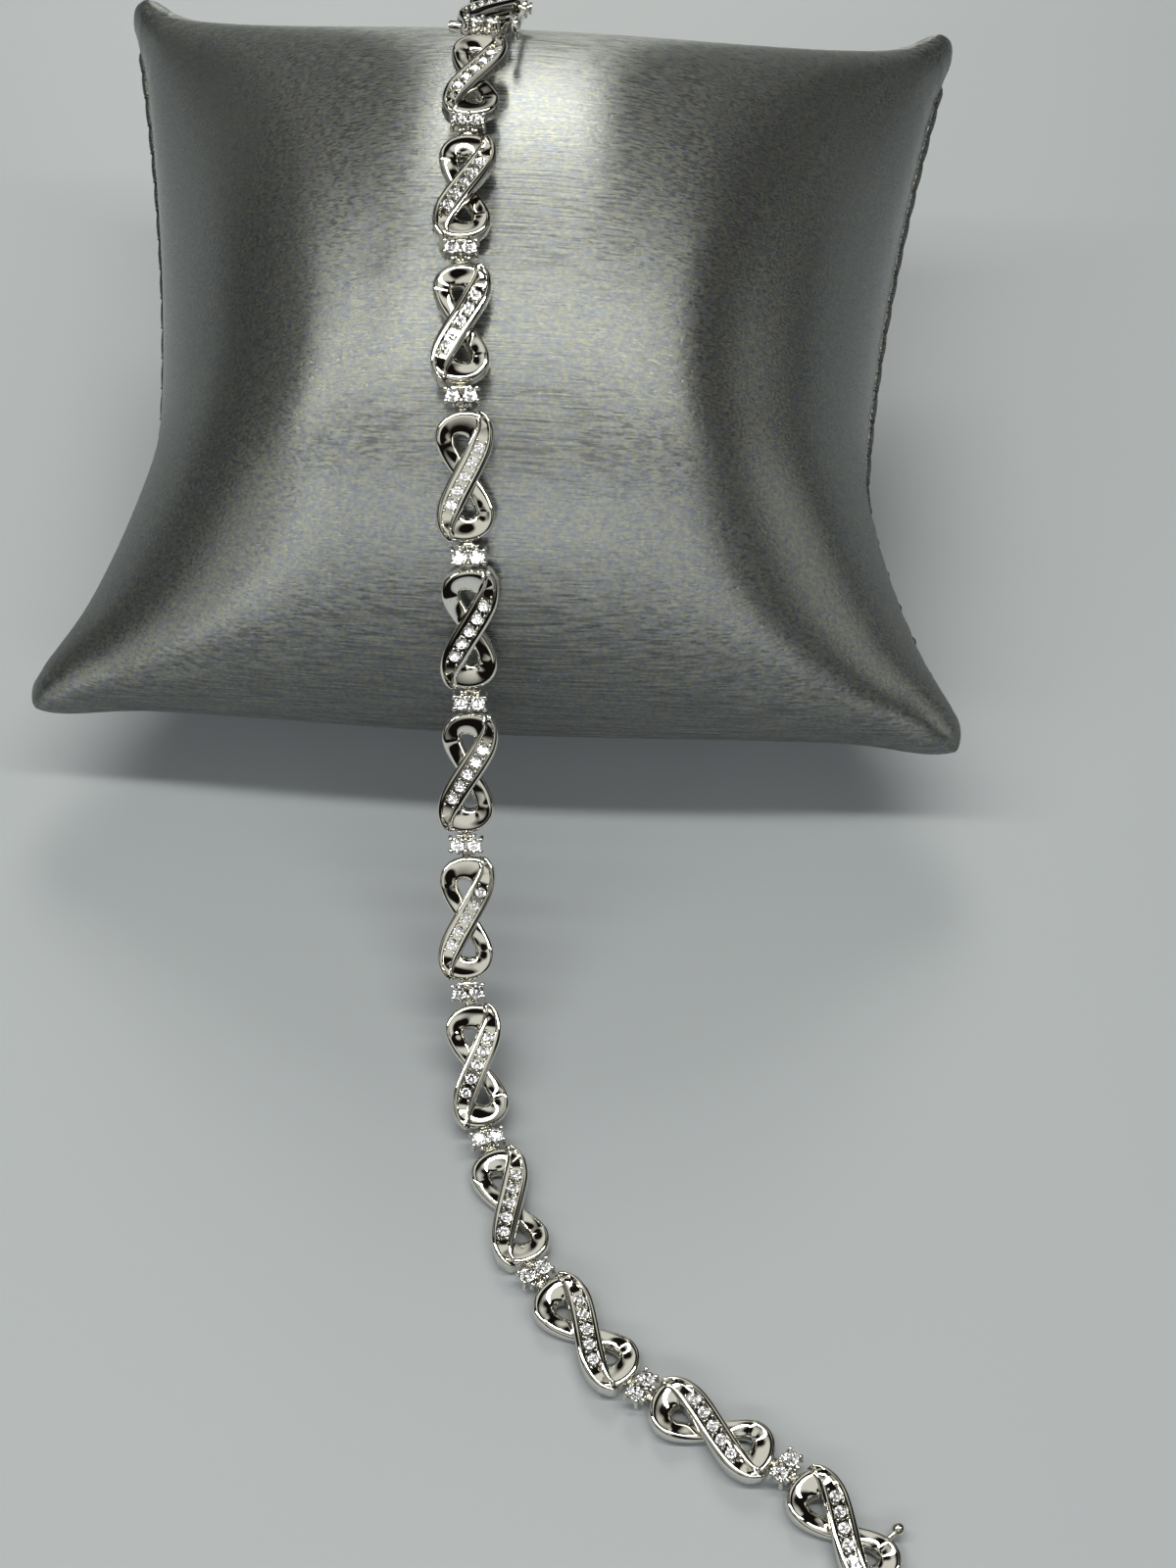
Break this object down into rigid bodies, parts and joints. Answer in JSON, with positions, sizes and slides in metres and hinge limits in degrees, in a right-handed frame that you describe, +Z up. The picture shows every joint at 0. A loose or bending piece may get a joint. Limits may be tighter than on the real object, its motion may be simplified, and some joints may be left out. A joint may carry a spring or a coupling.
{
  "type": "infinity bracelet on a display pillow",
  "caption": "Open white metal infinity-link bracelet with stone-set connectors, draped over a plain grey display pillow.",
  "frame": {"origin": "point of the pillow's flat base under the middle of its four corners, on the surface that carries pillow and bracelet", "axes": "+X right, +Y towards the pillow's higher back edge, +Z up; the bracelet's clasp end lies over the back and its free end runs out towards -Y"},
  "size_m": [0.092, 0.17, 0.0553],
  "materials": {
    "white_gold": "highly polished white gold or silver, slightly warm",
    "clear_stone": "round brilliant cut clear stone",
    "leatherette": "pearl grey leatherette with a fine cross grain and a soft sheen"
  },
  "bodies": {
    "draped": {"clasp_link_01": "white_gold", "infinity_link_02": "white_gold", "infinity_link_03": "white_gold", "infinity_link_04": "white_gold", "infinity_link_05": "white_gold", "infinity_link_06": "white_gold", "infinity_link_07": "white_gold", "infinity_link_08": "white_gold", "infinity_link_09": "white_gold", "infinity_link_10": "white_gold", "infinity_link_11": "white_gold", "infinity_link_12": "white_gold", "tongue_link_13": "white_gold", "connector_01": "white_gold", "connector_02": "white_gold", "connector_03": "white_gold", "connector_04": "white_gold", "connector_05": "white_gold", "connector_06": "white_gold", "connector_07": "white_gold", "connector_08": "white_gold", "connector_09": "white_gold", "connector_10": "white_gold", "connector_11": "white_gold", "connector_12": "white_gold", "stone_01_left": "clear_stone", "stone_01_right": "clear_stone", "stone_02_left": "clear_stone", "stone_02_right": "clear_stone", "stone_03_left": "clear_stone", "stone_03_right": "clear_stone", "stone_04_left": "clear_stone", "stone_04_right": "clear_stone", "stone_05_left": "clear_stone", "stone_05_right": "clear_stone", "stone_06_left": "clear_stone", "stone_06_right": "clear_stone", "stone_07_left": "clear_stone", "stone_07_right": "clear_stone", "stone_08_left": "clear_stone", "stone_08_right": "clear_stone", "stone_09_left": "clear_stone", "stone_09_right": "clear_stone", "stone_10_left": "clear_stone", "stone_10_right": "clear_stone", "stone_11_left": "clear_stone", "stone_11_right": "clear_stone", "stone_12_left": "clear_stone", "stone_12_right": "clear_stone", "display_pillow": "leatherette"},
    "safety_catch": {"safety_catch": "white_gold"}
  },
  "joints": [
    {"name": "safety_catch_hinge", "type": "hinge", "parent": "draped", "child": "safety_catch", "pos_m": [-0.00047, 0.01729, 0.04996], "axis": [-0.9986, 0.0523, 0], "range_deg": [0, 180]}
  ]
}
